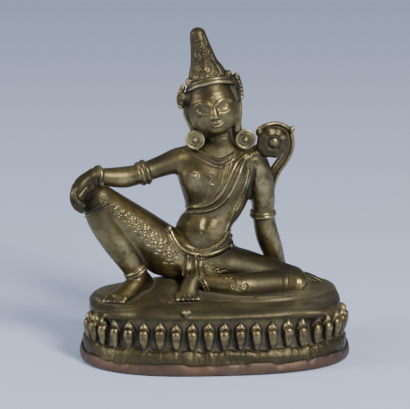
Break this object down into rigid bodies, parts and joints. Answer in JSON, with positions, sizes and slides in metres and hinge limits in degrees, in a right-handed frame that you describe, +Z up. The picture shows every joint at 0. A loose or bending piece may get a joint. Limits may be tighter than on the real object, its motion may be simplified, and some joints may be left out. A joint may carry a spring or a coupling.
{
  "type": "seated bodhisattva figure on a lotus base",
  "caption": "Cast bronze bodhisattva seated at ease on an oval lotus pedestal, with a lotus at the shoulder and a copper plate turned up round the foot.",
  "frame": {"origin": "on the flat underside of the copper plate, at the middle of the pedestal's width and on its widest line", "axes": "+Z up, -Y towards the viewer that the figure faces, +X to the figure's own left"},
  "size_m": [0.1415, 0.08, 0.1645],
  "materials": {
    "aged_bronze": "old cast bronze, olive brown, near black in the hollows and worn to a pale gold on the high places",
    "aged_copper": "sheet copper, reddish brown, beaten over the edge, rubbed bright on its folds"
  },
  "bodies": {
    "root": {"deity_figure_with_lotus_base": "aged_bronze", "copper_base_plate": "aged_copper"}
  },
  "joints": []
}
